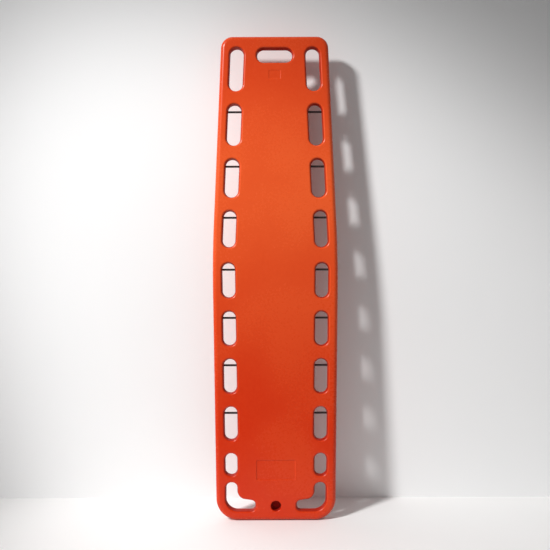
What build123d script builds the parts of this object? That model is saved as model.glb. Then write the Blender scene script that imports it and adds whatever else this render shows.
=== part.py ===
from build123d import *

import math
import os

# Spine board, lying on its runners. +Z is up, out of the face that the patient lies on, and +Y points to the head
# end. The origin is the centre of the footprint, on the ground. All sizes are in millimetres.

# Outline of the board; the width of each end is a share of the width at the shoulders
length = 1830.0
shoulder_width = 478.0
head_share = 0.8452
foot_share = 0.9435
shoulder_station = 80.0
head_corner = 45.0
foot_corner = 82.0
shoulder_radius = 4500.0

# Section of the hollow body
slab_thickness = 45.0
wall = 3.5
edge_fillet = 17.0
rim_fillet = 10.0

# Runners moulded along the underside
runner_height = 5.0
runner_width = 30.0
runner_margin = 265.0
runner_clearance = 4.5
runner_taper = 30.0

# Row of handholes along each side, from the head end to the corner slot. Each one has its start and its end as shares
# of the row's length, and the width of its straight wall.
row_margin = 45.0
row_gap = 30.0
row = [
    (0.0000, 0.0991, 50.0),
    (0.1326, 0.2268, 50.0),
    (0.2608, 0.3488, 50.0),
    (0.3820, 0.4656, 47.0),
    (0.5043, 0.5836, 47.0),
    (0.6177, 0.6958, 47.0),
    (0.7292, 0.8073, 47.0),
    (0.8414, 0.9170, 47.0),
    (0.9504, 1.0000, 44.0),
]
handhole_margin = 37.5

# Grip slot across the head end
grip_width = 50.0
grip_margin = 48.0
grip_clearance = 48.5

# L-shaped slot round each foot corner
corner_slot_margin = 38.0
corner_slot_rise = 103.0
corner_slot_reach = 109.0
corner_slot_rise_width = 41.0
corner_slot_reach_width = 34.0
corner_slot_elbow_depth = 10.0
corner_slot_outer_radius = 45.0
corner_slot_inner_radius = 32.0

# Round pocket at the foot, with the port through which the foam is poured
pocket_radius = 19.0
pocket_depth = 30.0
pocket_margin = 55.0
pocket_mouth_fillet = 4.0
port_radius = 9.0
plug_flange_radius = 13.0
plug_flange_thickness = 2.5
plug_stem_length = 7.0
plug_chamfer = 0.6

# Shallow recesses in the patient's face
label_length = 146.0
label_width = 74.0
label_margin = 191.0
label_corner = 3.0
label_recess_depth = 1.2
mark_length = 44.0
mark_width = 32.0
mark_margin = 146.0
mark_corner = 2.0
mark_recess_depth = 0.6

# Strap pins, moulded into every handhole but the first and the last
pin_radius = 4.0
pin_chamfer = 0.5
socket_depth = 14.0
socket_wall = 4.0

# Stiffener tubes in the foam
tube_radius = 12.5
tube_wall = 2.0
tube_margin = 165.0
tube_clearance = 12.0

# Clearances between pieces that lie against each other
foam_gap = 0.1
pin_clearance = 0.05
plug_clearance = 0.1

# Sizes that follow from the ones above
head_width = shoulder_width * head_share
foot_width = shoulder_width * foot_share
board_height = runner_height + slab_thickness
mid_height = runner_height + slab_thickness / 2
boss_radius = pin_radius + socket_wall
pocket_floor = board_height - pocket_depth
pocket_station = -length / 2 + pocket_margin
hanging = (Align.CENTER, Align.CENTER, Align.MAX)

# Handholes as station along the board, length and width
row_length = length - row_margin - row_gap - corner_slot_margin - corner_slot_rise
handholes = [
    (length / 2 - row_margin - (start + end) / 2 * row_length, (end - start) * row_length, width)
    for start, end, width in row
]

# Everything between the two rows keeps clear of the handholes at the head, which come closest to the middle
clear_width = head_width - 2 * (handhole_margin + max(width for _, _, width in row))
grip_length = clear_width - 2 * grip_clearance
runner_length = length - 2 * runner_margin
runner_spacing = clear_width - 2 * runner_clearance - runner_width
tube_length = length - 2 * tube_margin
tube_spacing = clear_width - 2 * (tube_clearance + tube_radius)

# Left and right are as seen from above, with the head end at the top
sides = {"left": -1, "right": 1}
pinned_handholes = [(hole, side) for side in sides.values() for hole in handholes[1:-1]]
tube_places = [Location((side * tube_spacing / 2, 0, mid_height), (90, 0, 0)) for side in sides.values()]


def side_line(station):
    """Half width and lean, in degrees, of the straight side line at a station along the board."""
    if station > shoulder_station:
        run = length / 2 - shoulder_station
        spread = (shoulder_width - head_width) / 2
        return shoulder_width / 2 - spread * (station - shoulder_station) / run, math.degrees(math.atan2(spread, run))
    run = length / 2 + shoulder_station
    spread = (shoulder_width - foot_width) / 2
    return shoulder_width / 2 - spread * (shoulder_station - station) / run, -math.degrees(math.atan2(spread, run))


def handhole_place(hole, side):
    """Centre and turn of a handhole, which runs parallel to the outline beside it."""
    station, _, width = hole
    half_width, lean = side_line(station)
    return Location((side * (half_width - handhole_margin - width / 2), station), 90 + side * lean)


def pin_place(hole, side):
    """Centre of the pin that crosses a handhole at the middle of its head-end arc, turned along X."""
    _, hole_length, width = hole
    arc_centre = handhole_place(hole, side) * Location(((hole_length - width) / 2, 0))
    return Location((arc_centre.position.X, arc_centre.position.Y, mid_height), (0, 90, 0))


def corner_slot_profile(inset):
    """L-shaped slot of the right foot corner, grown by the inset."""
    foot = -length / 2 + corner_slot_margin
    outer = side_line(foot)[0] - corner_slot_margin
    inner = outer - corner_slot_rise_width
    with BuildSketch() as profile:
        with BuildLine():
            FilletPolyline(
                (outer, foot),
                (outer, foot + corner_slot_rise),
                (inner, foot + corner_slot_rise),
                (inner, foot + corner_slot_reach_width + corner_slot_elbow_depth),
                (outer - corner_slot_reach, foot + corner_slot_reach_width),
                (outer - corner_slot_reach, foot),
                radius=[
                    corner_slot_outer_radius,
                    corner_slot_rise_width / 2 - 0.5,
                    corner_slot_rise_width / 2 - 0.5,
                    corner_slot_inner_radius,
                    corner_slot_reach_width / 2 - 0.5,
                    corner_slot_reach_width / 2 - 0.5,
                ],
                close=True,
            )
        make_face()
        if inset:
            offset(amount=inset)
    return profile.sketch


def board_profile(inset):
    """Plan of the slab with its openings: the outline shrinks by the inset and every opening grows by it."""
    with BuildSketch() as profile:
        with BuildLine():
            FilletPolyline(
                (-head_width / 2, length / 2),
                (head_width / 2, length / 2),
                (shoulder_width / 2, shoulder_station),
                (foot_width / 2, -length / 2),
                (-foot_width / 2, -length / 2),
                (-shoulder_width / 2, shoulder_station),
                radius=[head_corner, head_corner, shoulder_radius, foot_corner, foot_corner, shoulder_radius],
                close=True,
            )
        make_face()
        if inset:
            offset(amount=-inset)
        for side in sides.values():
            for hole in handholes:
                with Locations(handhole_place(hole, side)):
                    SlotOverall(hole[1] + 2 * inset, hole[2] + 2 * inset, mode=Mode.SUBTRACT)
        with Locations((0, length / 2 - grip_margin - grip_width / 2)):
            SlotOverall(grip_length + 2 * inset, grip_width + 2 * inset, mode=Mode.SUBTRACT)
        corner_slot = corner_slot_profile(inset)
        add(corner_slot, mode=Mode.SUBTRACT)
        add(mirror(corner_slot, about=Plane.YZ, mode=Mode.PRIVATE), mode=Mode.SUBTRACT)
    return profile.sketch


def moulded_body(inset):
    """Body of the board at a distance inside its outer skin: 0 gives the skin, the wall gives the cavity.

    The skin's edges are rounded. Further in they are bevelled between the same two lines, so that the wall is
    thickest along its edges, where the powder gathers in the mould.
    """
    profile = board_profile(inset)
    ease = chamfer if inset else fillet
    with BuildPart() as body:
        with BuildSketch(Plane.XY.offset(runner_height + inset)):
            add(profile)
        extrude(amount=slab_thickness - 2 * inset)
        for flat in (0, -1):
            face = body.faces().filter_by(Plane.XY).sort_by(Axis.Z)[flat]
            ease(face.outer_wire().edges(), edge_fillet - inset)
            face = body.faces().filter_by(Plane.XY).sort_by(Axis.Z)[flat]
            ease([edge for wire in face.inner_wires() for edge in wire.edges()], rim_fillet - inset)
        slope = math.radians(runner_taper)
        narrowing = 2 * inset * (1 / math.cos(slope) - math.tan(slope))
        with BuildSketch(Plane.XY.offset(runner_height + inset)):
            with Locations((-runner_spacing / 2, 0), (runner_spacing / 2, 0)):
                SlotOverall(runner_length - narrowing, runner_width - narrowing, rotation=90)
        extrude(amount=-runner_height, taper=runner_taper)
        with Locations((0, pocket_station, board_height)):
            Cylinder(pocket_radius + inset, pocket_depth + inset, align=hanging, mode=Mode.SUBTRACT)
        if not inset:
            fillet(body.edges(Select.LAST).sort_by(Axis.Z)[-1], pocket_mouth_fillet)
    return body.part


os.makedirs("parts", exist_ok=True)

# One-piece shell: the skin less the cavity, with a closed socket for each end of every strap pin
skin = moulded_body(0)
cavity = moulded_body(wall)
with BuildPart() as board_shell:
    add(skin)
    add(cavity, mode=Mode.SUBTRACT)
    for hole, side in pinned_handholes:
        boss_start = hole[2] / 2 + wall / 2
        boss_length = socket_depth + socket_wall - wall / 2
        for end in (-1, 1):
            with Locations(pin_place(hole, side) * Location((0, 0, end * (boss_start + boss_length / 2)))):
                Cylinder(boss_radius, boss_length)
    for hole, side in pinned_handholes:
        with Locations(pin_place(hole, side)):
            Cylinder(pin_radius + pin_clearance, hole[2] + 2 * socket_depth, mode=Mode.SUBTRACT)
    with Locations((0, pocket_station, pocket_floor)):
        Cylinder(port_radius, wall, align=hanging, mode=Mode.SUBTRACT)
    with BuildSketch(Plane.XY.offset(board_height)):
        with Locations((0, -length / 2 + label_margin)):
            RectangleRounded(label_length, label_width, label_corner)
    extrude(amount=-label_recess_depth, mode=Mode.SUBTRACT)
    with BuildSketch(Plane.XY.offset(board_height)):
        with Locations((0, length / 2 - mark_margin)):
            RectangleRounded(mark_length, mark_width, mark_corner)
    extrude(amount=-mark_recess_depth, mode=Mode.SUBTRACT)
board_shell.part.label = "board_shell"
export_step(board_shell.part, "parts/board_shell.step")

# Rigid foam that fills the shell, poured round the sockets, the tubes and the plug's stem
foam_body = moulded_body(wall + foam_gap)
with BuildPart() as foam_core:
    add(foam_body)
    for hole, side in pinned_handholes:
        with Locations(pin_place(hole, side)):
            Cylinder(
                boss_radius + foam_gap,
                hole[2] + 2 * (socket_depth + socket_wall + foam_gap),
                mode=Mode.SUBTRACT,
            )
    with Locations(*tube_places):
        Cylinder(tube_radius + foam_gap, tube_length + 2 * foam_gap, mode=Mode.SUBTRACT)
    with Locations((0, pocket_station, pocket_floor)):
        Cylinder(port_radius + foam_gap, plug_stem_length + foam_gap, align=hanging, mode=Mode.SUBTRACT)
foam_core.part.label = "foam_core"
export_step(foam_core.part, "parts/foam_core.step")

# Stiffener tubes, one on each side of the middle
for side_name, place in zip(sides, tube_places):
    with BuildPart() as stiffener_tube:
        with Locations(place):
            Cylinder(tube_radius, tube_length)
            Cylinder(tube_radius - tube_wall, tube_length, mode=Mode.SUBTRACT)
    stiffener_tube.part.label = f"stiffener_tube_{side_name}"
    export_step(stiffener_tube.part, f"parts/stiffener_tube_{side_name}.step")

# Plug of the foam port: a flange on the pocket's floor and a stem through it
with BuildPart() as fill_plug:
    with Locations((0, pocket_station, pocket_floor)):
        Cylinder(plug_flange_radius, plug_flange_thickness, align=(Align.CENTER, Align.CENTER, Align.MIN))
        Cylinder(port_radius - plug_clearance, plug_stem_length, align=hanging)
    chamfer(fill_plug.edges().group_by(Axis.Z)[-1], plug_chamfer)
    chamfer(fill_plug.edges().group_by(Axis.Z)[0], plug_chamfer)
fill_plug.part.label = "fill_plug"
export_step(fill_plug.part, "parts/fill_plug.step")

# Strap pins, each held at both ends in the shell
for hole, side in pinned_handholes:
    with BuildPart() as strap_pin:
        with Locations(pin_place(hole, side)):
            Cylinder(pin_radius, hole[2] + 2 * socket_depth)
        chamfer(strap_pin.edges().filter_by(GeomType.CIRCLE), pin_chamfer)
    side_name = "left" if side < 0 else "right"
    strap_pin.part.label = f"strap_pin_{side_name}_{handholes.index(hole) + 1}"
    export_step(strap_pin.part, f"parts/{strap_pin.part.label}.step")
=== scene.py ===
"""Looks of a spine board: its moulded skin, strap pins, finishes, and the studio that it stands in."""

import logging
import math
from dataclasses import dataclass, field
from enum import Enum
from typing import Any, Sequence

import bmesh
import bpy
from mathutils import Matrix, Vector, geometry


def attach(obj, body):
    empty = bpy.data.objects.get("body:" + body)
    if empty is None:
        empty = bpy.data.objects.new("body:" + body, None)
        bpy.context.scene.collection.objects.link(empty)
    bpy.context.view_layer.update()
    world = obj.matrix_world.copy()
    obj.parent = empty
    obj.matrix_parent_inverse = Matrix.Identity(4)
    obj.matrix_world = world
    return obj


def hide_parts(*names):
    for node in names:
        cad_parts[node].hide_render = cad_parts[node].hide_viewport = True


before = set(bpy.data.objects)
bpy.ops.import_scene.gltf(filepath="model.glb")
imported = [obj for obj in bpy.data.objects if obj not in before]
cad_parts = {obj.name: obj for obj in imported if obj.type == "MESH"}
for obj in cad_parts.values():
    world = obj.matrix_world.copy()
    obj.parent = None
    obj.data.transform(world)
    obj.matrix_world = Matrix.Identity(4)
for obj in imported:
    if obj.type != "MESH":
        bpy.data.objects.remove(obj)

LOG = logging.getLogger("spine_board")
MM = 0.001
BODY = "root"
# Numbers of the first and the last handhole with a pin, counted from the head.
FIRST_PINNED, LAST_PINNED = 2, 8
# Width of the flat strip beside a rounding, and half the height of the one round a wall's middle.
SUPPORT = 1.2 * MM
WAIST = 0.4 * MM
# Turn of a rounding at which the deep red painted shade of a wall begins, and at which it is full.
PAINTED_SHADE_START, PAINTED_SHADE_END = math.radians(30), math.radians(65)
# Largest turn in one step of a corner, and the distance at which two points of a loop are one.
ARC_TURN = math.radians(9)
SAME_POINT = 0.01 * MM
# Clear distance of a flat face's inner points from its border, in spacings, and how close its corners may be.
GRID_CLEARANCE = 0.45
MERGE_DISTANCE = 1e-7
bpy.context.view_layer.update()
Pair = tuple[float, float]
Triple = tuple[float, float, float]
Colour = tuple[float, float, float, float]


class Side(Enum):
    """The two long sides of the board, as seen from above with the head end at the top."""

    LEFT = -1
    RIGHT = 1


class Slot(Enum):
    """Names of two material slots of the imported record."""

    SHELL = "shell_plastic"
    PIN = "pin_plastic"


def srgb(red: float, green: float, blue: float) -> Colour:
    """Return the linear colour, with an alpha of 1, of a display colour whose parts run from 0 to 255."""

    def channel(value: float) -> float:
        """Return one channel on the linear scale."""
        part = value / 255
        return part / 12.92 if part <= 0.04045 else ((part + 0.055) / 1.055) ** 2.4

    return channel(red), channel(green), channel(blue), 1.0


def add_object(name: str, data: bpy.types.ID) -> bpy.types.Object:
    """Return a new object with its data, placed in the scene."""
    thing = bpy.data.objects.new(name, data)
    bpy.context.scene.collection.objects.link(thing)
    return thing


class Signal:
    """A number that varies over a surface: a wrapped socket on which Python's operators add Math nodes."""

    def __init__(self, graph: "Graph", socket: bpy.types.NodeSocket) -> None:
        """Keep the socket and the graph that it belongs to."""
        self.graph = graph
        self.socket = socket

    def _math(self, operation: str, *values: Any, clamp: bool = False) -> "Signal":
        """Return the result of one Math node, kept between 0 and 1 if clamp is set."""
        settings = {"operation": operation, "use_clamp": clamp}
        node = self.graph.node("ShaderNodeMath", settings, dict(enumerate(values)))
        return Signal(self.graph, node.outputs[0])

    def __add__(self, other: Any) -> "Signal":
        """Return the sum."""
        return self._math("ADD", self, other)

    def __mul__(self, other: Any) -> "Signal":
        """Return the product."""
        return self._math("MULTIPLY", self, other)

    def __sub__(self, other: Any) -> "Signal":
        """Return the difference."""
        return self._math("SUBTRACT", self, other)

    def __rsub__(self, other: Any) -> "Signal":
        """Return the difference with this signal taken away."""
        return self._math("SUBTRACT", other, self)

    def smaller(self, other: Any) -> "Signal":
        """Return the smaller of this signal and another."""
        return self._math("MINIMUM", self, other)

    def clamped(self) -> "Signal":
        """Return the signal kept between 0 and 1."""
        return self._math("ADD", self, 0.0, clamp=True)

    def ramp(self, low: float, high: float) -> "Signal":
        """Return 0 below low, 1 above high, and a smooth rise between them."""
        values = {"Value": self, "From Min": low, "From Max": high}
        node = self.graph.node("ShaderNodeMapRange", {"interpolation_type": "SMOOTHSTEP"}, values)
        return Signal(self.graph, node.outputs["Result"])


class Graph:
    """Node tree of one material or of the world."""

    def __init__(self, tree: bpy.types.NodeTree) -> None:
        """Empty the tree and keep it."""
        self.tree = tree
        tree.nodes.clear()

    def node(self, kind: str, settings: dict[str, Any] | None = None, values: dict[Any, Any] | None = None) -> Any:
        """Add a node.

        Args:
            kind: The node's type.
            settings: Properties that are set first.
            values: Socket names or numbers, with the value or link that each gets.

        Returns:
            The node.
        """
        node = self.tree.nodes.new(kind)
        for name, value in (settings or {}).items():
            setattr(node, name, value)
        for key, value in (values or {}).items():
            if isinstance(value, Signal):
                value = value.socket
            if isinstance(value, bpy.types.NodeSocket):
                self.tree.links.new(value, node.inputs[key])
            else:
                node.inputs[key].default_value = value
        return node

    def place(self) -> bpy.types.NodeSocket:
        """Return the point on the object, in metres."""
        return self.node("ShaderNodeTexCoord").outputs["Object"]

    def along(self, axis: str) -> Signal:
        """Return how far the point is along one axis of the object, in metres."""
        return Signal(self, self.node("ShaderNodeSeparateXYZ", values={"Vector": self.place()}).outputs[axis])

    def attribute(self, name: str) -> Signal:
        """Return a number that the mesh holds at each of its points."""
        return Signal(self, self.node("ShaderNodeAttribute", {"attribute_name": name}).outputs["Fac"])

    def noise(
        self, size: float, detail: float = 2.0, roughness: float = 0.5, stretch: Vector | None = None
    ) -> Signal:
        """Add a noise.

        Args:
            size: Rough width of its lumps in metres.
            detail: Number of finer layers.
            roughness: Strength of the finer layers.
            stretch: Factors by which the point is scaled first.

        Returns:
            The noise, from 0 to 1.
        """
        point = self.place()
        if stretch is not None:
            point = self.node("ShaderNodeMapping", values={"Vector": point, "Scale": stretch}).outputs[0]
        values = {"Vector": point, "Scale": 1 / size, "Detail": detail, "Roughness": roughness}
        return Signal(self, self.node("ShaderNodeTexNoise", values=values).outputs["Fac"])

    def cells(self, size: float) -> Signal:
        """Return the distance to the nearest of many scattered points that lie about one size apart."""
        values = {"Vector": self.place(), "Scale": 1 / size}
        return Signal(self, self.node("ShaderNodeTexVoronoi", values=values).outputs["Distance"])

    def colour_mix(self, share: Signal, first: Any, second: Any) -> bpy.types.NodeSocket:
        """Return a blend of two colours, by a share that runs from 0 to 1."""
        return self.node("ShaderNodeMix", {"data_type": "RGBA"}, {0: share, 6: first, 7: second}).outputs[2]

    def bump(self, layers: Sequence[tuple[Signal, float]]) -> bpy.types.NodeSocket:
        """Return the normal of bumps stacked on each other, each a height signal with its depth in metres."""
        normal: dict[str, Any] = {}
        for height, depth in layers:
            values = {"Height": height, "Distance": depth, "Strength": 1.0, **normal}
            normal = {"Normal": self.node("ShaderNodeBump", values=values).outputs["Normal"]}
        return normal["Normal"]

    def principled(self, tone: Any, roughness: Any, **more: Any) -> bpy.types.NodeSocket:
        """Return a Principled shader with a colour, a roughness and what else its inputs are given."""
        values = {"Base Color": tone, "Roughness": roughness, **more}
        return self.node("ShaderNodeBsdfPrincipled", values=values).outputs[0]


@dataclass(frozen=True)
class Finish:
    """A material made of nodes."""

    name: str

    def shader(self, graph: Graph) -> bpy.types.NodeSocket:
        """Add the nodes of the finish to a graph and return their shader."""
        raise NotImplementedError

    def build(self) -> bpy.types.Material:
        """Return the material."""
        material = bpy.data.materials.new(self.name)
        material.use_nodes = True
        graph = Graph(material.node_tree)
        graph.node("ShaderNodeOutputMaterial", values={"Surface": self.shader(graph)})
        return material


@dataclass(frozen=True)
class MouldedPolyethylene(Finish):
    """Orange polyethylene skin: satin, with the fine grain and the soft waves that the mould leaves, painted light
    and painted shade along its length, and deep red painted shade in its openings.
    """

    name: str = "moulded_polyethylene"
    # faded is the pale end of the tone, reached through painted light along the board and through random paler
    # patches; fresh is the deep end, reached where there is no painted light, under the painted shade at the head,
    # and in random darker patches.
    pale_and_lit: Colour = srgb(230, 91, 39)
    fresh: Colour = srgb(200, 44, 5)
    # Painted light along Y grows from the foot towards the head; the head shade is painted shade that darkens the
    # head end again.
    painted_light_start: float = -0.60
    painted_light_end: float = 0.50
    head_shade_start: float = 0.25
    head_shade_end: float = 0.95
    scuffed: Colour = srgb(232, 118, 78)
    # Deep red painted shade, laid on the walls of the openings and the pocket.
    painted_shade_red: Colour = srgb(158, 22, 6)
    cloud_size: float = 350 * MM
    cloud_share: float = 0.18
    mottle_size: float = 9 * MM
    mottle_share: float = 0.07
    wear_size: float = 5 * MM
    painted_light_share: float = 0.75
    head_shade_share: float = 0.68
    scuff_share: float = 0.45
    scratch_share: float = 0.10
    roughness: float = 0.26
    hollow_roughness: float = 0.35
    gloss: float = 0.26
    refraction: float = 1.5
    grain_size: float = 0.9 * MM
    grain_depth: float = 0.035 * MM
    wave_size: float = 90 * MM
    wave_depth: float = 0.10 * MM
    peel_size: float = 2.6 * MM
    peel_depth: float = 0.02 * MM
    scratch_size: float = 1.6 * MM
    scratch_depth: float = 0.02 * MM

    def shader(self, graph: Graph) -> bpy.types.NodeSocket:
        """Return the shader."""
        cloud = graph.noise(self.cloud_size, 2.0, 0.5).ramp(0.35, 0.65)
        mottle = graph.noise(self.mottle_size, 3.0, 0.6).ramp(0.30, 0.72)
        station = graph.along("Y")
        # Painted light, brightest on the upper middle of the board, with painted shade at the head end and towards
        # the foot.
        shaded = station.ramp(self.head_shade_start, self.head_shade_end) * self.head_shade_share
        painted_light = station.ramp(self.painted_light_start, self.painted_light_end) * (1 - shaded) * self.painted_light_share
        pale = painted_light + cloud * self.cloud_share + mottle * self.mottle_share
        tone = graph.colour_mix(pale.clamped(), self.fresh, self.pale_and_lit)
        finish = graph.attribute("finish")
        wear = finish.clamped() * graph.noise(self.wear_size, 4.0, 0.75).ramp(0.53, 0.66)
        scratches = graph.noise(self.scratch_size, 2.0, 0.6, Vector((1.0, 0.06, 1.0))).ramp(0.70, 0.78)
        rubbed = (wear * self.scuff_share + scratches * self.scratch_share).clamped()
        tone = graph.colour_mix(rubbed, tone, self.scuffed)
        # Painted shade: where the finish attribute is below 0, the tone turns to deep red in the openings and the
        # pocket.
        hollow = (finish * -1).clamped()
        tone = graph.colour_mix(hollow, tone, self.painted_shade_red)
        roughness = cloud * 0.05 + mottle * 0.04 + wear * 0.10 + scratches * 0.06
        roughness = roughness + hollow * self.hollow_roughness + self.roughness - 0.04
        grain = graph.noise(self.grain_size, 2.0, 0.55)
        peel = graph.cells(self.peel_size)
        waves = graph.noise(self.wave_size, 1.0, 0.4, Vector((1.0, 0.6, 1.0)))
        layers = [(waves, self.wave_depth), (peel, self.peel_depth), (grain, self.grain_depth)]
        normal = graph.bump([*layers, (scratches, -self.scratch_depth)])
        sheen = {"IOR": self.refraction, "Specular IOR Level": self.gloss}
        return graph.principled(tone, roughness, Normal=normal, **sheen)


@dataclass(frozen=True)
class PinNylon(Finish):
    """Black nylon of the strap pins, with fine turning rings and patches of dust."""

    name: str = "pin_nylon"
    colour: Colour = srgb(30, 20, 20)
    dusty: Colour = srgb(62, 44, 40)
    roughness: float = 0.34
    refraction: float = 1.53
    turning_size: float = 1.4 * MM
    turning_depth: float = 0.02 * MM
    dust_size: float = 4 * MM
    dust_share: float = 0.35

    def shader(self, graph: Graph) -> bpy.types.NodeSocket:
        """Return the shader."""
        rings = graph.noise(self.turning_size, 3.0, 0.6, Vector((1.0, 0.12, 0.12)))
        dust = graph.noise(self.dust_size, 4.0, 0.7).ramp(0.50, 0.75)
        tone = graph.colour_mix(dust * self.dust_share, self.colour, self.dusty)
        normal = graph.bump([(rings, self.turning_depth)])
        roughness = dust * 0.16 + self.roughness
        return graph.principled(tone, roughness, Normal=normal, IOR=self.refraction)


@dataclass(frozen=True)
class RigidFoam(Finish):
    """Cream rigid foam with fine closed cells."""

    name: str = "rigid_foam"
    colour: Colour = srgb(226, 212, 172)
    shade: Colour = srgb(198, 178, 132)
    cell_size: float = 1.1 * MM
    cell_depth: float = 0.4 * MM
    blotch_size: float = 60 * MM

    def shader(self, graph: Graph) -> bpy.types.NodeSocket:
        """Return the shader."""
        cells = graph.cells(self.cell_size)
        blotch = graph.noise(self.blotch_size, 3.0, 0.6).ramp(0.35, 0.70)
        tone = graph.colour_mix((blotch * 0.5 + cells * 0.3).clamped(), self.colour, self.shade)
        normal = graph.bump([(cells, self.cell_depth)])
        return graph.principled(tone, blotch * 0.1 + 0.82, Normal=normal)


@dataclass(frozen=True)
class PultrudedTube(Finish):
    """Dark pultruded composite with fibres that run along the tube."""

    name: str = "pultruded_tube"
    colour: Colour = srgb(44, 44, 46)
    fibre: Colour = srgb(78, 78, 80)
    strand_size: float = 0.7 * MM
    strand_depth: float = 0.05 * MM

    def shader(self, graph: Graph) -> bpy.types.NodeSocket:
        """Return the shader."""
        strands = graph.noise(self.strand_size, 3.0, 0.6, Vector((1.0, 0.02, 1.0)))
        tone = graph.colour_mix(strands.ramp(0.45, 0.7), self.colour, self.fibre)
        normal = graph.bump([(strands, self.strand_depth)])
        return graph.principled(tone, strands * 0.2 + 0.35, Normal=normal)


@dataclass(frozen=True)
class StudioPaint(Finish):
    """Matt white of the studio's wall and floor, seen only from the side that faces the room."""

    colour: Colour
    roughness: float = 0.9
    cloud_size: float = 0.5
    cloud_share: float = 0.4
    cloud_shade: float = 0.97

    def shader(self, graph: Graph) -> bpy.types.NodeSocket:
        """Return the shader."""
        cloud = graph.noise(self.cloud_size, 2.0).ramp(0.2, 0.8)
        shade = tuple(self.cloud_shade * part for part in self.colour[:3]) + (1.0,)
        paint = graph.principled(graph.colour_mix(cloud * self.cloud_share, self.colour, shade), self.roughness)
        clear = graph.node("ShaderNodeBsdfTransparent")
        back = graph.node("ShaderNodeNewGeometry").outputs["Backfacing"]
        return graph.node("ShaderNodeMixShader", values={0: back, 1: paint, 2: clear.outputs[0]}).outputs[0]


@dataclass(frozen=True)
class Corner:
    """A rounded corner of a plan outline, in metres."""

    x: float
    y: float
    radius: float


@dataclass(frozen=True)
class PlanLoop:
    """A closed outline in plan: its points, and at each the direction into the plastic beside it."""

    points: tuple[Pair, ...]
    inward: tuple[Pair, ...]

    def at(self, depth: float) -> list[Pair]:
        """Return the points moved into the plastic by a depth in metres."""
        return [(x + depth * u, y + depth * v) for (x, y), (u, v) in zip(self.points, self.inward)]


def rounded_loop(
    corners: Sequence[Corner], solid_inside: bool = False, run_step: float = 8 * MM, arc_step: float = 3 * MM
) -> PlanLoop:
    """Trace a polygon with rounded corners, listed counter-clockwise.

    Args:
        corners: The corners with their radii.
        solid_inside: Whether the plastic is inside the loop, as at the outline, or round it, as at a hole.
        run_step: Longest step along a straight run.
        arc_step: Longest step along an arc.

    Returns:
        The loop.
    """
    points: list[Pair] = []
    outward: list[Pair] = []
    arcs: list[list[tuple[Vector, Vector]]] = []
    for before, corner, after in zip(corners[-1:] + corners[:-1], corners, corners[1:] + corners[:1]):
        apex = Vector((corner.x, corner.y))
        to_before = (Vector((before.x, before.y)) - apex).normalized()
        to_after = (Vector((after.x, after.y)) - apex).normalized()
        half = to_before.angle(to_after) / 2
        convex = to_before.x * to_after.y - to_before.y * to_after.x < 0
        centre = apex + (to_before + to_after).normalized() * (corner.radius / math.sin(half))
        tangent = corner.radius / math.tan(half)
        start = apex + to_before * tangent - centre
        turn = math.pi - 2 * half
        steps = max(2, math.ceil(turn * corner.radius / arc_step), math.ceil(turn / ARC_TURN))
        arc = []
        for index in range(steps + 1):
            spoke = Matrix.Rotation((1 if convex else -1) * turn * index / steps, 2) @ start
            arc.append((centre + spoke, spoke.normalized() * (1 if convex else -1)))
        arcs.append(arc)
    for arc, following in zip(arcs, arcs[1:] + arcs[:1]):
        (last, direction), (first, _) = arc[-1], following[0]
        steps = max(1, math.ceil((first - last).length / run_step))
        run = [(last.lerp(first, index / steps), direction) for index in range(1, steps)]
        for point, away in arc + run:
            if not points or (Vector(points[-1]) - point).length > SAME_POINT:
                points.append(tuple(point))
                outward.append(tuple(away))
    if (Vector(points[0]) - Vector(points[-1])).length <= SAME_POINT:
        points.pop()
        outward.pop()
    sign = -1 if solid_inside else 1
    return PlanLoop(tuple(points), tuple((sign * u, sign * v) for u, v in outward))


def rectangle(x: float, y: float, along: float, across: float, radius: float, lean: float = 0.0) -> list[Corner]:
    """Return the corners of a rounded rectangle whose longer side runs along Y, turned by a lean in radians."""
    turn = Matrix.Rotation(lean, 2)
    signs = ((-1, -1), (1, -1), (1, 1), (-1, 1))
    spots = [turn @ Vector((sx * across / 2, sy * along / 2)) for sx, sy in signs]
    return [Corner(x + spot.x, y + spot.y, radius) for spot in spots]


def holds(ring: Sequence[Vector], x: float, y: float) -> bool:
    """Tell whether a point lies inside a closed ring of points in plan."""
    inside = False
    for start, end in zip(ring, [*ring[1:], ring[0]]):
        if (start.y > y) != (end.y > y) and x < start.x + (y - start.y) * (end.x - start.x) / (end.y - start.y):
            inside = not inside
    return inside


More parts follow.
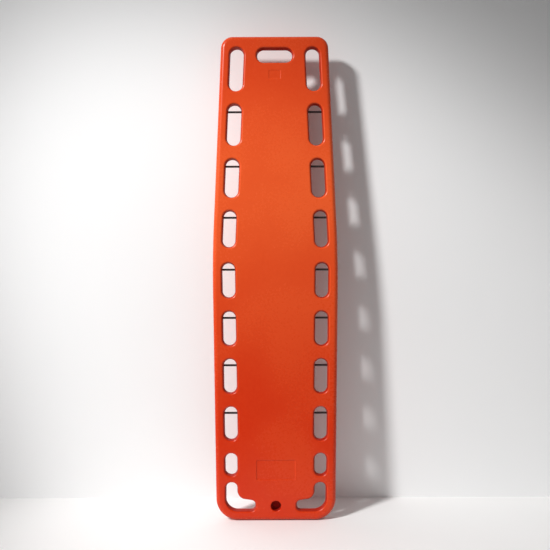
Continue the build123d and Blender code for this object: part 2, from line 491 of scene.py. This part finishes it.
class SkinMesh:
    """Mesh of a moulded skin: rings that follow plan loops, joined by strips, and flat faces between the rings."""

    def __init__(self) -> None:
        """Start with no points."""
        self.points: list[Triple] = []
        self.finish: list[float] = []
        self.faces: list[tuple[int, ...]] = []

    def ring(self, loop: PlanLoop, depth: float, height: float, finish: float = 0.0) -> list[int]:
        """Add a ring.

        Args:
            loop: The loop that it follows.
            depth: Distance from the loop into the plastic.
            height: Its height.
            finish: How much it is rubbed, up to 1, or how strong the deep red painted shade of a hollow is there,
                down to -1.

        Returns:
            The numbers of its points.
        """
        first = len(self.points)
        self.points += [(x, y, height) for x, y in loop.at(depth)]
        self.finish += [finish] * len(loop.points)
        return list(range(first, len(self.points)))

    def strips(self, rings: Sequence[list[int]]) -> None:
        """Join each ring to the next one with quads."""
        for low, high in zip(rings, rings[1:]):
            for index, start in enumerate(low):
                after = (index + 1) % len(low)
                self.faces.append((start, low[after], high[after], high[index]))

    def sheet(self, outline: list[int], holes: Sequence[list[int]], height: float, spacing: float) -> None:
        """Fill the flat face between an outline and the holes in it.

        Args:
            outline: Point numbers round the face.
            holes: Point numbers round each hole.
            height: Height of the face.
            spacing: Distance between the points added inside it.
        """
        rings = [[Vector(self.points[number][:2]) for number in ring] for ring in (outline, *holes)]
        numbers = [number for ring in (outline, *holes) for number in ring]
        border = [point for ring in rings for point in ring]
        edges = []
        for ring in rings:
            first = len(edges)
            edges += [(first + k, first + (k + 1) % len(ring)) for k in range(len(ring))]
        grid = self._grid(rings, spacing)
        numbers += range(len(self.points), len(self.points) + len(grid))
        self.points += [(point.x, point.y, height) for point in grid]
        self.finish += [0.0] * len(grid)
        net = geometry.delaunay_2d_cdt(border + grid, edges, [], 0, MERGE_DISTANCE)
        _, links, triangles, origin, sources, _ = net
        triangles = [tuple(triangle) for triangle in triangles]
        inner = len(border)
        seeds = {k for k, corners in enumerate(triangles) if any(origin[corner][0] >= inner for corner in corners)}
        walls = {frozenset(link) for link, source in zip(links, sources) if source}
        for index in sorted(self._reached(triangles, seeds, walls)):
            self.faces.append(tuple(numbers[origin[corner][0]] for corner in triangles[index]))

    @staticmethod
    def _grid(rings: Sequence[list[Vector]], spacing: float) -> list[Vector]:
        """Return staggered points in a flat face, none of them close to its borders.

        Args:
            rings: Points round the face, then round each hole in it.
            spacing: Distance between the points.

        Returns:
            The points.
        """
        border = [point for ring in rings for point in ring]
        spans = [([point.x for point in ring], [point.y for point in ring]) for ring in rings]
        boxes = [(min(xs), max(xs), min(ys), max(ys)) for xs, ys in spans]
        clearance = (GRID_CLEARANCE * spacing) ** 2
        left, right, low, high = boxes[0]
        grid = []
        for row in range(1, int((high - low) / spacing)):
            for column in range(1, int((right - left) / spacing)):
                x, y = left + (column + 0.5 * (row % 2)) * spacing, low + row * spacing
                near = [ring for ring, (x0, x1, y0, y1) in zip(rings, boxes) if x0 < x < x1 and y0 < y < y1]
                if not holds(rings[0], x, y) or any(holds(ring, x, y) for ring in near if ring is not rings[0]):
                    continue
                if min((point.x - x) ** 2 + (point.y - y) ** 2 for point in border) > clearance:
                    grid.append(Vector((x, y)))
        return grid

    @staticmethod
    def _reached(triangles: Sequence[tuple[int, ...]], seeds: set[int], walls: set[frozenset[int]]) -> set[int]:
        """Spread over a flat face from triangle to triangle without crossing a border.

        Args:
            triangles: Three corners each.
            seeds: Triangles that surely lie in the plastic.
            walls: Pairs of corners that a border joins.

        Returns:
            The triangles that lie in the plastic.
        """
        beside: dict[frozenset[int], set[int]] = {}
        for index, (a, b, c) in enumerate(triangles):
            for pair in ((a, b), (b, c), (c, a)):
                beside.setdefault(frozenset(pair), set()).add(index)
        reached = set(seeds)
        front = list(seeds)
        while front:
            a, b, c = triangles[front.pop()]
            for pair in {frozenset((a, b)), frozenset((b, c)), frozenset((c, a))} - walls:
                fresh = beside[pair] - reached
                reached |= fresh
                front += fresh
        return reached

    def blind(self, loop: PlanLoop, section: Sequence[Triple]) -> list[int]:
        """Add a hollow or a raised form that ends in one flat face, whose outline is convex.

        Args:
            loop: The loop that it follows.
            section: Depth into the plastic, height and finish of each ring, from its mouth to its end.

        Returns:
            The numbers of the points round its mouth.
        """
        rings = [self.ring(loop, *spot) for spot in section]
        self.strips(rings)
        self.faces.append(tuple(rings[-1]))
        return rings[0]

    def to_object(self, name: str) -> bpy.types.Object:
        """Return the mesh as an object whose faces point outwards."""
        mesh = bpy.data.meshes.new(name)
        mesh.from_pydata(self.points, [], self.faces)
        work = bmesh.new()
        work.from_mesh(mesh)
        bmesh.ops.recalc_face_normals(work, faces=work.faces)
        if work.calc_volume(signed=True) < 0:
            bmesh.ops.reverse_faces(work, faces=work.faces)
        open_edges = sum(not edge.is_manifold for edge in work.edges)
        work.to_mesh(mesh)
        work.free()
        mesh.attributes.new("finish", "FLOAT", "POINT").data.foreach_set("value", self.finish)
        mesh.shade_smooth()
        LOG.info("%s: %d points, %d faces, %d open edges", name, len(mesh.vertices), len(mesh.polygons), open_edges)
        return add_object(name, mesh)


def share_between(value: float, start: float, end: float) -> float:
    """Return how far a value has got from a start to an end, kept between 0 and 1."""
    return min(1.0, max(0.0, (value - start) / (end - start)))


def rolled_edge(
    radius: float, low: float, high: float, steps: int, wear: float, painted_shade: float = 0.0, draft: float = 0.0
) -> list[Triple]:
    """Section of a wall that is rounded at its foot and head.

    Args:
        radius: Radius of the rounding.
        low: Height of the lower face.
        high: Height of the upper face.
        steps: Steps in each rounding.
        wear: Wear at the middle of each rounding.
        painted_shade: Strength of the deep red painted shade on the wall between the roundings, from 0 to 1.
        draft: Lean of the wall from its middle towards both faces, in radians.

    Returns:
        Depth into the plastic, height and finish of each ring, from the lower face to the upper one.
    """
    middle = (low + high) / 2
    slope = math.tan(draft)
    turn = math.pi / 2 - draft
    outer = (middle - low) * slope + radius * math.tan(turn / 2)
    lower = [(outer + SUPPORT, low, 0.0)]
    for step in range(steps + 1):
        angle = turn * step / steps
        # Past the start of the painted shade, the rounding's wear gives way to deep red painted shade, which is full
        # on the wall between the roundings.
        inside = share_between(angle, PAINTED_SHADE_START, PAINTED_SHADE_END) if painted_shade else 0.0
        wear_and_shade = wear * math.sin(2 * angle) * (1 - inside) - painted_shade * inside
        lower.append((outer - radius * math.sin(angle), low + radius * (1 - math.cos(angle)), wear_and_shade))
    for height in (lower[-1][1] + SUPPORT, middle - WAIST):
        lower.append(((middle - height) * slope, height, -painted_shade))
    upper = [(depth, low + high - height, wear_and_shade) for depth, height, wear_and_shade in reversed(lower)]
    return [*lower, (0.0, middle, -painted_shade), *upper]


@dataclass
class Handhole:
    """One handhole in a long side of the board, in metres."""

    number: int
    station: float
    length: float
    width: float

    @property
    def pinned(self) -> bool:
        """Whether a strap pin crosses it."""
        return FIRST_PINNED <= self.number <= LAST_PINNED


@dataclass
class BoardShell:
    """The hollow moulded body: its plan, its section and everything that is moulded into its faces."""

    length: float = 1830 * MM
    head_width: float = 404 * MM
    shoulder_width: float = 478 * MM
    foot_width: float = 451 * MM
    shoulder_station: float = 80 * MM
    head_corner: float = 45 * MM
    foot_corner: float = 82 * MM
    shoulder_radius: float = 4500 * MM
    low_face: float = 5 * MM
    high_face: float = 50 * MM
    edge_fillet: float = 17 * MM
    edge_steps: int = 9
    edge_wear: float = 1.0
    rim_fillet: float = 7 * MM
    rim_steps: int = 7
    rim_wear: float = 0.5
    # Strength of the deep red painted shade on the walls of the openings.
    rim_painted_shade: float = 0.75
    opening_draft: float = math.radians(10)
    runner_width: float = 30 * MM
    runner_length: float = 1300 * MM
    runner_spacing: float = 190 * MM
    runner_slope: float = math.radians(30)
    runner_fillet: float = 1.0 * MM
    runner_round: float = 1.4 * MM
    runner_flat: float = 3.0 * MM
    handhole_margin: float = 37.5 * MM
    row_margin: float = 45 * MM
    row_gap: float = 30 * MM
    row: tuple[Triple, ...] = (
        (0.0000, 0.0991, 50.0),
        (0.1326, 0.2268, 50.0),
        (0.2608, 0.3488, 50.0),
        (0.3820, 0.4656, 47.0),
        (0.5043, 0.5836, 47.0),
        (0.6177, 0.6958, 47.0),
        (0.7292, 0.8073, 47.0),
        (0.8414, 0.9170, 47.0),
        (0.9504, 1.0000, 44.0),
    )
    grip_length: float = 132 * MM
    grip_width: float = 50 * MM
    grip_margin: float = 48 * MM
    corner_slot_margin: float = 38 * MM
    corner_slot_rise: float = 103 * MM
    corner_slot_reach: float = 109 * MM
    corner_slot_rise_width: float = 41 * MM
    corner_slot_reach_width: float = 34 * MM
    corner_slot_elbow_depth: float = 10 * MM
    corner_slot_outer_radius: float = 45 * MM
    corner_slot_inner_radius: float = 32 * MM
    corner_slot_tip: float = 0.5 * MM
    pocket_radius: float = 19 * MM
    pocket_depth: float = 30 * MM
    pocket_margin: float = 55 * MM
    pocket_mouth: float = 4 * MM
    pocket_steps: int = 5
    # Share of the pocket's rounding at which its deep red painted shade begins; the pocket's wall and floor are in
    # full painted shade.
    pocket_shade_start: float = 0.375
    pocket_foot: tuple[Pair, ...] = ((0.0, 3.0), (-0.9, 0.9), (-3.0, 0.0), (-8.0, 0.0))
    label_length: float = 146 * MM
    label_width: float = 74 * MM
    label_margin: float = 191 * MM
    label_depth: float = 2.0 * MM
    mark_length: float = 44 * MM
    mark_width: float = 32 * MM
    mark_margin: float = 146 * MM
    mark_depth: float = 1.1 * MM
    label_corner: float = 4 * MM
    mark_corner: float = 3 * MM
    recess_edge: float = 1.1 * MM
    recess_steps: int = 6
    recess_wear: float = 0.9
    parting_ridge: float = 0.3 * MM
    ridge_foot: float = 1.2 * MM
    ridge_top: float = 0.3 * MM
    ridge_room: float = 1.5 * MM
    ridge_gap: float = 0.02 * MM
    sheet_spacing: float = 28 * MM
    handholes: list[Handhole] = field(default_factory=list)

    def __post_init__(self) -> None:
        """Place the handholes along their row, which stops short of the corner slot."""
        run = self.length - self.row_margin - self.row_gap - self.corner_slot_margin - self.corner_slot_rise
        for number, (start, end, width) in enumerate(self.row, 1):
            station = self.length / 2 - self.row_margin - (start + end) / 2 * run
            self.handholes.append(Handhole(number, station, (end - start) * run, width * MM))

    def side_line(self, station: float) -> Pair:
        """Return the half width of the board at a station, and the lean of its side there in radians."""
        end = self.length / 2 if station > self.shoulder_station else -self.length / 2
        width = self.head_width if station > self.shoulder_station else self.foot_width
        slope = (self.shoulder_width - width) / 2 / (end - self.shoulder_station)
        return self.shoulder_width / 2 - slope * (station - self.shoulder_station), math.atan(slope)

    def handhole_spot(self, hole: Handhole, side: Side) -> Triple:
        """Return the centre of a handhole and its lean in radians."""
        half_width, lean = self.side_line(hole.station)
        across = half_width - self.handhole_margin - hole.width / 2
        return side.value * across, hole.station, side.value * lean

    def outline(self) -> PlanLoop:
        """Return the outline of the board."""
        half = self.length / 2
        shoulder = self.shoulder_width / 2
        right = [
            Corner(self.foot_width / 2, -half, self.foot_corner),
            Corner(shoulder, self.shoulder_station, self.shoulder_radius),
            Corner(self.head_width / 2, half, self.head_corner),
        ]
        left = [Corner(-corner.x, corner.y, corner.radius) for corner in reversed(right)]
        return rounded_loop(right + left, solid_inside=True, run_step=12 * MM, arc_step=4 * MM)

    def handhole_loop(self, hole: Handhole, side: Side) -> PlanLoop:
        """Return the wall of one handhole."""
        x, y, lean = self.handhole_spot(hole, side)
        return rounded_loop(rectangle(x, y, hole.length, hole.width, hole.width / 2, lean))

    def corner_slot_loop(self, side: Side) -> PlanLoop:
        """Return the wall of the L-shaped slot in one foot corner."""
        foot = -self.length / 2 + self.corner_slot_margin
        outer = self.side_line(foot)[0] - self.corner_slot_margin
        inner = outer - self.corner_slot_rise_width
        rise_round = self.corner_slot_rise_width / 2 - self.corner_slot_tip
        reach_round = self.corner_slot_reach_width / 2 - self.corner_slot_tip
        elbow = foot + self.corner_slot_reach_width
        corners = [
            Corner(outer, foot, self.corner_slot_outer_radius),
            Corner(outer, foot + self.corner_slot_rise, rise_round),
            Corner(inner, foot + self.corner_slot_rise, rise_round),
            Corner(inner, elbow + self.corner_slot_elbow_depth, self.corner_slot_inner_radius),
            Corner(outer - self.corner_slot_reach, elbow, reach_round),
            Corner(outer - self.corner_slot_reach, foot, reach_round),
        ]
        if side is Side.LEFT:
            corners = [Corner(-corner.x, corner.y, corner.radius) for corner in reversed(corners)]
        return rounded_loop(corners)

    def through_loops(self) -> list[PlanLoop]:
        """Return the walls of every opening that goes right through the board."""
        loops = [self.handhole_loop(hole, side) for side in Side for hole in self.handholes]
        grip_y = self.length / 2 - self.grip_margin - self.grip_width / 2
        grip = rectangle(0, grip_y, self.grip_length, self.grip_width, self.grip_width / 2, math.pi / 2)
        loops.append(rounded_loop(grip))
        loops += [self.corner_slot_loop(side) for side in Side]
        return loops

    def build(self) -> bpy.types.Object:
        """Return the skin of the board as one closed mesh."""
        skin = SkinMesh()
        outline = self.outline()
        faces = self.low_face, self.high_face
        section = rolled_edge(self.edge_fillet, *faces, self.edge_steps, self.edge_wear)
        outline_rings = [skin.ring(outline, *spot) for spot in self.with_parting_ridge(section)]
        skin.strips(outline_rings)
        low_holes, high_holes = [], []
        section = rolled_edge(
            self.rim_fillet, *faces, self.rim_steps, self.rim_wear, self.rim_painted_shade, self.opening_draft
        )
        for loop in self.through_loops():
            rings = [skin.ring(loop, *spot) for spot in section]
            skin.strips(rings)
            low_holes.append(rings[0])
            high_holes.append(rings[-1])
        high_holes.append(self.add_pocket(skin))
        high_holes += self.add_recesses(skin)
        low_holes += self.add_runners(skin)
        skin.sheet(outline_rings[-1], high_holes, self.high_face, self.sheet_spacing)
        skin.sheet(outline_rings[0], low_holes, self.low_face, self.sheet_spacing)
        return skin.to_object("moulded_shell")

    def with_parting_ridge(self, section: list[Triple]) -> list[Triple]:
        """Draw the outer wall in by the height of the ridge that the mould's joint leaves round its middle."""
        middle = (self.low_face + self.high_face) / 2
        ridge = self.parting_ridge
        drawn = [(depth + ridge, height, wear_and_shade) for depth, height, wear_and_shade in section]
        low = [spot for spot in drawn if spot[1] < middle - self.ridge_room]
        high = [spot for spot in drawn if spot[1] > middle + self.ridge_room]
        climb = [(ridge, self.ridge_foot, 0.2), (self.ridge_gap, self.ridge_top, 0.5)]
        crest = [(depth, middle - away, wear_and_shade) for depth, away, wear_and_shade in climb]
        crest += [(depth, middle + away, wear_and_shade) for depth, away, wear_and_shade in reversed(climb)]
        return low + crest + high

    def add_pocket(self, skin: SkinMesh) -> list[int]:
        """Add the blind round pocket at the foot and return the ring round its mouth."""
        across = 2 * self.pocket_radius
        y = -self.length / 2 + self.pocket_margin
        loop = rounded_loop(rectangle(0, y, across, across, self.pocket_radius), arc_step=2 * MM)
        floor = self.high_face - self.pocket_depth
        section = [(SUPPORT + self.pocket_mouth, self.high_face, 0.0)]
        for share in (step / self.pocket_steps for step in range(self.pocket_steps + 1)):
            angle = math.pi / 2 * share
            depth = self.pocket_mouth * (1 - math.sin(angle))
            height = self.high_face - self.pocket_mouth * (1 - math.cos(angle))
            # Painted shade: deep red from part way down the rounding, full on the pocket's wall and floor.
            section.append((depth, height, -share_between(share, self.pocket_shade_start, 1.0)))
        for depth, above in self.pocket_foot:
            section.append((depth * MM, floor + above * MM, -1.0))
        return skin.blind(loop, section)

    def add_recesses(self, skin: SkinMesh) -> list[list[int]]:
        """Add the two shallow recesses of the upper face and return the rings round them."""
        label_y = -self.length / 2 + self.label_margin
        mark_y = self.length / 2 - self.mark_margin
        mouths = []
        for y, across, along, depth, corner in (
            (label_y, self.label_length, self.label_width, self.label_depth, self.label_corner),
            (mark_y, self.mark_length, self.mark_width, self.mark_depth, self.mark_corner),
        ):
            loop = rounded_loop(rectangle(0, y, along, across, corner), run_step=12 * MM, arc_step=1.5 * MM)
            section = [(self.recess_edge + SUPPORT, self.high_face, 0.0)]
            for share in (step / self.recess_steps for step in range(self.recess_steps + 1)):
                drop = share * share * (3 - 2 * share)
                wear_and_shade = self.recess_wear * (1 - share)
                section.append((self.recess_edge * (1 - 2 * share), self.high_face - depth * drop, wear_and_shade))
            section.append((-self.recess_edge - SUPPORT, self.high_face - depth, 0.0))
            mouths.append(skin.blind(loop, section))
        return mouths

    def add_runners(self, skin: SkinMesh) -> list[list[int]]:
        """Add the two runners of the underside and return the rings round them."""
        feet = []
        draw_in = self.low_face * math.tan(self.runner_slope)
        for side in Side:
            x = side.value * self.runner_spacing / 2
            corners = rectangle(x, 0, self.runner_length, self.runner_width, self.runner_width / 2)
            loop = rounded_loop(corners, run_step=12 * MM)
            section = [
                (self.runner_fillet + SUPPORT, self.low_face, 0.0),
                (self.runner_fillet, self.low_face, 0.0),
                (self.runner_fillet * 0.1, self.low_face * 0.94, 0.2),
                (-draw_in * 0.75, self.low_face * 0.22, 0.7),
                (-draw_in - self.runner_round / 7, self.low_face * 0.05, 1.0),
                (-draw_in - self.runner_round, 0.0, 0.8),
                (-draw_in - self.runner_flat, 0.0, 0.4),
            ]
            feet.append(skin.blind(loop, section))
        return feet


@dataclass
class StrapPins:
    """The pins that cross the handholes, one row made by one rule of nodes."""

    shell: BoardShell
    radius: float = 4 * MM
    chamfer: float = 0.5 * MM
    socket_depth: float = 14 * MM
    facets: int = 32
    stations: int = 41
    chamfer_share: float = 0.03

    def seats(self) -> list[tuple[Vector, float]]:
        """Return the middle of each pin and its length."""
        seats = []
        middle = (self.shell.low_face + self.shell.high_face) / 2
        for side in Side:
            for hole in (hole for hole in self.shell.handholes if hole.pinned):
                x, y, lean = self.shell.handhole_spot(hole, side)
                reach = (hole.length - hole.width) / 2
                centre = Vector((x - reach * math.sin(lean), y + reach * math.cos(lean), middle))
                seats.append((centre, hole.width + 2 * self.socket_depth))
        return seats

    def tree(self, material: bpy.types.Material) -> bpy.types.GeometryNodeTree:
        """Build the rule: on every point stands a bar that lies along X, as long as the point says.

        Args:
            material: The finish that the rule sets.

        Returns:
            The node tree.
        """
        tree = bpy.data.node_groups.new("pin_row", "GeometryNodeTree")
        tree.interface.new_socket("Seats", in_out="INPUT", socket_type="NodeSocketGeometry")
        sizes = (("Radius", "Float", self.radius), ("Chamfer", "Float", self.chamfer), ("Facets", "Int", self.facets))
        for name, kind, value in sizes:
            tree.interface.new_socket(name, in_out="INPUT", socket_type=f"NodeSocket{kind}").default_value = value
        tree.interface.new_socket("Pins", in_out="OUTPUT", socket_type="NodeSocketGeometry")
        graph = Graph(tree)
        given = graph.node("NodeGroupInput").outputs
        radius = Signal(graph, given["Radius"])
        bevel = Signal(graph, given["Chamfer"])
        section = graph.node("GeometryNodeCurvePrimitiveCircle", {"mode": "RADIUS"}, {"Resolution": given["Facets"]})
        span = graph.node("GeometryNodeInputNamedAttribute", {"data_type": "FLOAT"}, {"Name": "span"})
        line = graph.node("GeometryNodeCurvePrimitiveLine", values={"Start": (-0.5, 0, 0), "End": (0.5, 0, 0)})
        steps = {"Curve": line.outputs[0], "Count": self.stations}
        fine = graph.node("GeometryNodeResampleCurve", {"mode": "COUNT"}, steps)
        along = Signal(graph, graph.node("GeometryNodeSplineParameter").outputs["Factor"])
        edge = along.smaller(1 - along)
        bar = graph.node(
            "GeometryNodeCurveToMesh",
            values={
                "Curve": fine.outputs[0],
                "Profile Curve": section.outputs[0],
                "Scale": radius - bevel * (1 - edge.ramp(0.0, self.chamfer_share)),
                "Fill Caps": True,
            },
        )
        scale = graph.node("ShaderNodeCombineXYZ", values={0: span.outputs[0], 1: 1.0, 2: 1.0})
        seats = graph.node("GeometryNodeMeshToPoints", values={"Mesh": given["Seats"]})
        row = graph.node(
            "GeometryNodeInstanceOnPoints",
            values={"Points": seats.outputs[0], "Instance": bar.outputs[0], "Scale": scale.outputs[0]},
        )
        real = graph.node("GeometryNodeRealizeInstances", values={"Geometry": row.outputs[0]})
        smooth = graph.node("GeometryNodeSetShadeSmooth", values={"Geometry": real.outputs[0]})
        dressed = graph.node("GeometryNodeSetMaterial", values={"Geometry": smooth.outputs[0], "Material": material})
        graph.node("NodeGroupOutput", values={"Pins": dressed.outputs[0]})
        return tree

    def build(self, material: bpy.types.Material) -> bpy.types.Object:
        """Return all the pins as one mesh."""
        seats = self.seats()
        mesh = bpy.data.meshes.new("pin_seats")
        mesh.from_pydata([tuple(centre) for centre, _ in seats], [], [])
        mesh.attributes.new("span", "FLOAT", "POINT").data.foreach_set("value", [span for _, span in seats])
        holder = add_object("pin_seats", mesh)
        tree = self.tree(material)
        rule = holder.modifiers.new("pin_row", "NODES")
        rule.node_group = tree
        sizes = {"Radius": self.radius, "Chamfer": self.chamfer, "Facets": self.facets}
        for item in tree.interface.items_tree:
            if item.in_out == "INPUT" and item.name in sizes:
                rule[item.identifier] = sizes[item.name]
        bpy.context.view_layer.update()
        made = bpy.data.meshes.new_from_object(holder.evaluated_get(bpy.context.evaluated_depsgraph_get()))
        holder.modifiers.clear()
        bpy.data.objects.remove(holder)
        return add_object("strap_pins", made)


@dataclass
class Studio:
    """White wall and floor that the board leans in, the lights and the camera."""

    board: BoardShell
    lean: float = math.radians(4.0)
    reach: float = 7.0
    lens: float = 50.0
    sensor: float = 36.0
    sight: float = 50.0
    head_gap: float = 78 * MM
    camera_spot: Triple = (-0.0012, 0.012, 2.931)
    roll: float = math.radians(-0.18)
    light_spot: Triple = (-3.224, 2.924, 3.289)
    light_aim: Triple = (0.08, -0.32, 0.0)
    light_radius: float = 0.35
    light_power: float = 1370.0
    light_cone: float = math.radians(33)
    light_blend: float = 0.75
    fill: float = 0.25

    def upright(self) -> tuple[Vector, Vector]:
        """Return the direction that is up in the room, and the one out of the wall."""
        rise, tilt = math.cos(self.lean), math.sin(self.lean)
        return Vector((0, rise, tilt)), Vector((0, -tilt, rise))

    def contact(self, towards: Vector, end: float) -> float:
        """Return how far along a direction the rounded rear edge of the board's end reaches."""
        rounding = self.board.edge_fillet
        centre = Vector((0, end * (self.board.length / 2 - rounding), self.board.low_face + rounding))
        return centre.dot(towards) + rounding

    def plane(self, name: str, out: Vector, along: Vector, offset: float, paint: StudioPaint) -> bpy.types.Object:
        """Add a large flat square.

        Args:
            name: Its name.
            out: The direction that it faces.
            along: A direction in it.
            offset: Its distance from the origin along the direction that it faces.
            paint: Its finish.

        Returns:
            The object.
        """
        across = out.cross(along)
        centre = out * offset
        half = self.reach
        corners = [centre + along * (half * s) + across * (half * t) for s, t in ((-1, -1), (1, -1), (1, 1), (-1, 1))]
        mesh = bpy.data.meshes.new(name)
        mesh.from_pydata([tuple(corner) for corner in corners], [], [(0, 1, 2, 3)])
        if mesh.polygons[0].normal.dot(out) < 0:
            mesh.flip_normals()
        sheet = add_object(name, mesh)
        mesh.materials.append(paint.build())
        return sheet

    def build(self) -> None:
        """Add the wall, the floor, the lights, the camera and the world."""
        up, out = self.upright()
        wall_offset = -self.contact(-out, 1) - self.head_gap
        floor_offset = -self.contact(-up, -1)
        self.plane("studio_wall", out, up, wall_offset, StudioPaint("wall_paint", srgb(240, 240, 240)))
        self.plane("studio_floor", up, out, floor_offset, StudioPaint("floor_paint", srgb(244, 243, 242), 0.6))
        self.add_key_light()
        self.add_camera()
        self.add_world()

    def add_key_light(self) -> None:
        """Add the lamp at the upper left."""
        lamp = bpy.data.lights.new("key_lamp", "SPOT")
        lamp.energy = self.light_power
        lamp.shadow_soft_size = self.light_radius
        lamp.spot_size = self.light_cone
        lamp.spot_blend = self.light_blend
        key = add_object("key_lamp", lamp)
        key.location = self.light_spot
        key.rotation_euler = (Vector(self.light_aim) - key.location).to_track_quat("-Z", "Y").to_euler()

    def add_camera(self) -> None:
        """Add the camera, square to the board's face."""
        eye = bpy.data.cameras.new("photo_camera")
        eye.lens = self.lens
        eye.sensor_width = self.sensor
        eye.clip_end = self.sight
        camera = add_object("photo_camera", eye)
        camera.location = self.camera_spot
        camera.rotation_euler = (0, 0, self.roll)
        bpy.context.scene.camera = camera

    def add_world(self) -> None:
        """Light the room evenly, and show it as white."""
        world = bpy.data.worlds.new("studio_air")
        bpy.context.scene.world = world
        world.use_nodes = True
        graph = Graph(world.node_tree)
        path = graph.node("ShaderNodeLightPath").outputs
        seen = Signal(graph, path["Is Camera Ray"])
        strength = seen * (1 - self.fill) + self.fill
        glow = graph.node("ShaderNodeBackground", values={"Color": (1, 1, 1, 1), "Strength": strength})
        graph.node("ShaderNodeOutputWorld", values={"Surface": glow.outputs[0]})


def dress_inner_nodes() -> None:
    """Give the pieces inside the shell their finishes."""
    tube = PultrudedTube().build()
    # Deep red plug: painted shade for the floor of the pocket that the plug sits in.
    red = srgb(158, 16, 4)
    plug = MouldedPolyethylene("plug_polyethylene_painted_shade", pale_and_lit=red, fresh=red, roughness=0.6, gloss=0.1).build()
    finishes = {"foam_core": RigidFoam().build(), "fill_plug": plug}
    for name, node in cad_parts.items():
        if name.startswith("stiffener_tube"):
            finishes[name] = tube
        if name in finishes:
            for material_slot in node.material_slots:
                material_slot.material = finishes[name]
            LOG.info("%s dressed as %s", name, finishes[name].name)


def main() -> None:
    """Build the board's pieces, dress them and stand them in the studio."""
    logging.basicConfig(level=logging.INFO, format="%(name)s: %(message)s")
    bpy.context.scene.view_settings.view_transform = "Standard"
    shell = BoardShell()
    Studio(shell).build()
    skin = shell.build()
    skin.data.materials.append(MouldedPolyethylene().build())
    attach(skin, BODY)
    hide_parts("board_shell")
    pins = StrapPins(shell).build(PinNylon().build())
    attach(pins, BODY)
    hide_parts(*(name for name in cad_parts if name.startswith("strap_pin")))
    LOG.info("strap_pins: %d faces", len(pins.data.polygons))
    dress_inner_nodes()


if __name__ == "__main__":
    main()
